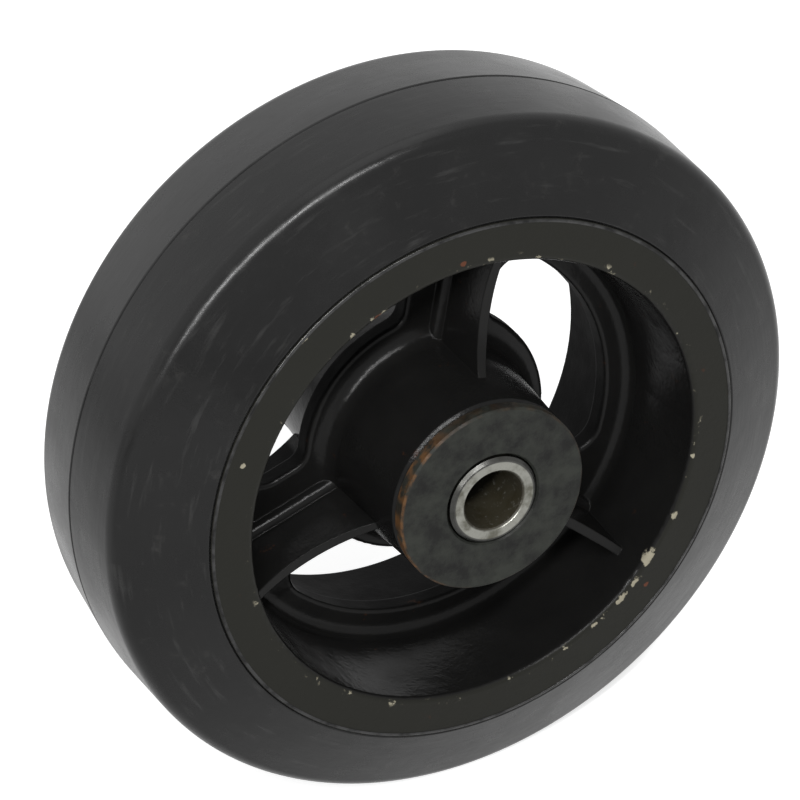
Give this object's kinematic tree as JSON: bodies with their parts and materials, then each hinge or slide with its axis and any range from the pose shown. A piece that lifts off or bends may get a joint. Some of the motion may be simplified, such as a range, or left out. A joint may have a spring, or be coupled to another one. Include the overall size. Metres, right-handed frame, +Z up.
{
  "type": "rubber wheel",
  "caption": "Moulded-on rubber wheel with a spoked cast-iron centre, a caged roller bearing and a bushed axle bore.",
  "frame": {"origin": "centre of the wheel, on the spin axis, midway between the two faces", "axes": "+Y along the spin axis towards the back face, +Z up, the face seen in the picture looks along -Y"},
  "size_m": [0.1524, 0.062, 0.1524],
  "materials": {
    "tyre_rubber": "matt black moulded rubber, greyed on the tread",
    "painted_iron": "gloss black dipped paint over sand-cast iron",
    "coated_steel": "grey-green phosphate coat, rusting at the edge",
    "bright_steel": "turned bright steel with light rust in the bore",
    "bearing_steel": "ground steel under a film of grease",
    "cage_steel": "pressed steel under a film of grease",
    "fitting_steel": "zinc plated, yellow passivated"
  },
  "bodies": {
    "axle_set": {"spanner_bushing": "bright_steel", "thrust_washer_front": "coated_steel", "thrust_washer_back": "coated_steel"},
    "wheel": {"tyre": "tyre_rubber", "core": "painted_iron", "bearing_race": "bearing_steel", "grease_fitting": "fitting_steel", "grease_ball": "bearing_steel"},
    "cage": {"cage_ring_front": "cage_steel", "cage_ring_back": "cage_steel", "cage_bars": "cage_steel"},
    "roller_01": {"roller_01": "bearing_steel"},
    "roller_02": {"roller_02": "bearing_steel"},
    "roller_03": {"roller_03": "bearing_steel"},
    "roller_04": {"roller_04": "bearing_steel"},
    "roller_05": {"roller_05": "bearing_steel"},
    "roller_06": {"roller_06": "bearing_steel"},
    "roller_07": {"roller_07": "bearing_steel"},
    "roller_08": {"roller_08": "bearing_steel"},
    "roller_09": {"roller_09": "bearing_steel"},
    "roller_10": {"roller_10": "bearing_steel"}
  },
  "joints": [
    {"name": "wheel_spin", "type": "hinge", "parent": "axle_set", "child": "wheel", "pos_m": [0, 0, 0], "axis": [0, 1, 0], "continuous": true},
    {"name": "cage_spin", "type": "hinge", "parent": "axle_set", "child": "cage", "pos_m": [0, 0, 0], "axis": [0, 1, 0], "continuous": true},
    {"name": "roller_01_spin", "type": "hinge", "parent": "cage", "child": "roller_01", "pos_m": [0.01231, 0, 0], "axis": [0, 1, 0], "continuous": true},
    {"name": "roller_02_spin", "type": "hinge", "parent": "cage", "child": "roller_02", "pos_m": [0.00996, 0, 0.00724], "axis": [0, 1, 0], "continuous": true},
    {"name": "roller_03_spin", "type": "hinge", "parent": "cage", "child": "roller_03", "pos_m": [0.0038, 0, 0.01171], "axis": [0, 1, 0], "continuous": true},
    {"name": "roller_04_spin", "type": "hinge", "parent": "cage", "child": "roller_04", "pos_m": [-0.0038, 0, 0.01171], "axis": [0, 1, 0], "continuous": true},
    {"name": "roller_05_spin", "type": "hinge", "parent": "cage", "child": "roller_05", "pos_m": [-0.00996, 0, 0.00724], "axis": [0, 1, 0], "continuous": true},
    {"name": "roller_06_spin", "type": "hinge", "parent": "cage", "child": "roller_06", "pos_m": [-0.01231, 0, 0], "axis": [0, 1, 0], "continuous": true},
    {"name": "roller_07_spin", "type": "hinge", "parent": "cage", "child": "roller_07", "pos_m": [-0.00996, 0, -0.00724], "axis": [0, 1, 0], "continuous": true},
    {"name": "roller_08_spin", "type": "hinge", "parent": "cage", "child": "roller_08", "pos_m": [-0.0038, 0, -0.01171], "axis": [0, 1, 0], "continuous": true},
    {"name": "roller_09_spin", "type": "hinge", "parent": "cage", "child": "roller_09", "pos_m": [0.0038, 0, -0.01171], "axis": [0, 1, 0], "continuous": true},
    {"name": "roller_10_spin", "type": "hinge", "parent": "cage", "child": "roller_10", "pos_m": [0.00996, 0, -0.00724], "axis": [0, 1, 0], "continuous": true}
  ],
  "couplings": [
    {"joint": "cage_spin", "follows": "wheel_spin", "ratio": 0.6132},
    {"joint": "roller_01_spin", "follows": "wheel_spin", "ratio": 2.0953},
    {"joint": "roller_02_spin", "follows": "wheel_spin", "ratio": 2.0953},
    {"joint": "roller_03_spin", "follows": "wheel_spin", "ratio": 2.0953},
    {"joint": "roller_04_spin", "follows": "wheel_spin", "ratio": 2.0953},
    {"joint": "roller_05_spin", "follows": "wheel_spin", "ratio": 2.0953},
    {"joint": "roller_06_spin", "follows": "wheel_spin", "ratio": 2.0953},
    {"joint": "roller_07_spin", "follows": "wheel_spin", "ratio": 2.0953},
    {"joint": "roller_08_spin", "follows": "wheel_spin", "ratio": 2.0953},
    {"joint": "roller_09_spin", "follows": "wheel_spin", "ratio": 2.0953},
    {"joint": "roller_10_spin", "follows": "wheel_spin", "ratio": 2.0953}
  ]
}
